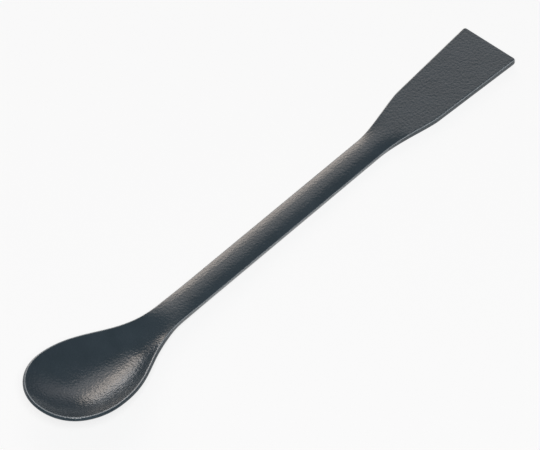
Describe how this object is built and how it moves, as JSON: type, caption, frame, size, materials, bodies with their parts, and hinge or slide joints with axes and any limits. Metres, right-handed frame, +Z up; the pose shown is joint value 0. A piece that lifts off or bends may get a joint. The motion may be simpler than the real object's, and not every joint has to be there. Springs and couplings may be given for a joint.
{
  "type": "lab spatula",
  "caption": "Dark coated lab spatula in one piece, with a spoon bowl at one end, an arched handle and a flat flared blade at the other.",
  "frame": {"origin": "on the bench, under the middle of the tool's box", "axes": "+X along the tool from the bowl to the blade, +Y across, +Z up out of the bowl"},
  "size_m": [0.15, 0.0234, 0.0072],
  "materials": {
    "coated_steel": "dark grey non-stick coating, satin, with a fine orange-peel texture"
  },
  "bodies": {
    "root": {"spatula": "coated_steel"}
  },
  "joints": []
}
